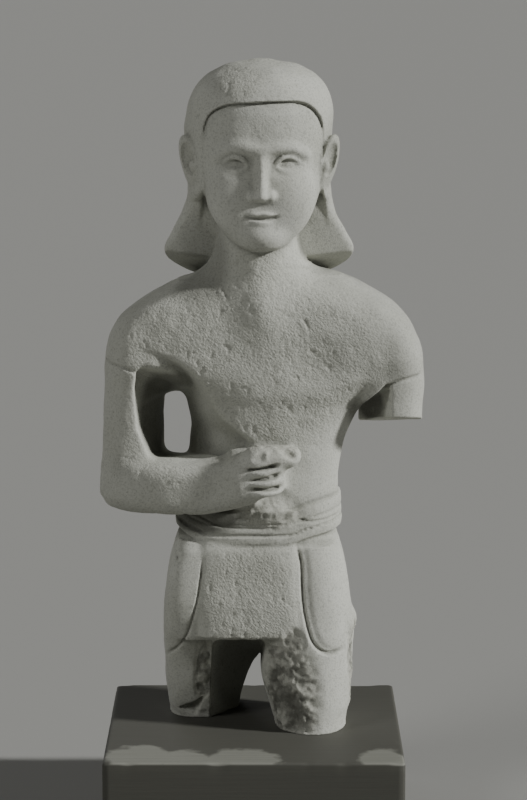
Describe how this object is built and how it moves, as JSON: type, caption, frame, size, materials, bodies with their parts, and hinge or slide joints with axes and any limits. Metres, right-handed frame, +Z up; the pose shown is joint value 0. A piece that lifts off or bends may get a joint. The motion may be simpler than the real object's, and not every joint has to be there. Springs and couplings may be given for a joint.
{
  "type": "limestone statuette on a block",
  "caption": "Small carved limestone figure of a standing youth in a belted kilt, one arm bent with a fist on the chest, broken at the thighs and set on a square block.",
  "frame": {"origin": "middle of the underside of the block", "axes": "+Z up through the figure, the figure faces -Y and its left side is on +X"},
  "size_m": [0.0835, 0.072, 0.1967],
  "materials": {
    "limestone": "tooled, matt, weathered",
    "painted_wood": "grey paint, matt, rubbed at the front edge"
  },
  "bodies": {
    "root": {"statue": "limestone", "plinth": "painted_wood"}
  },
  "joints": []
}
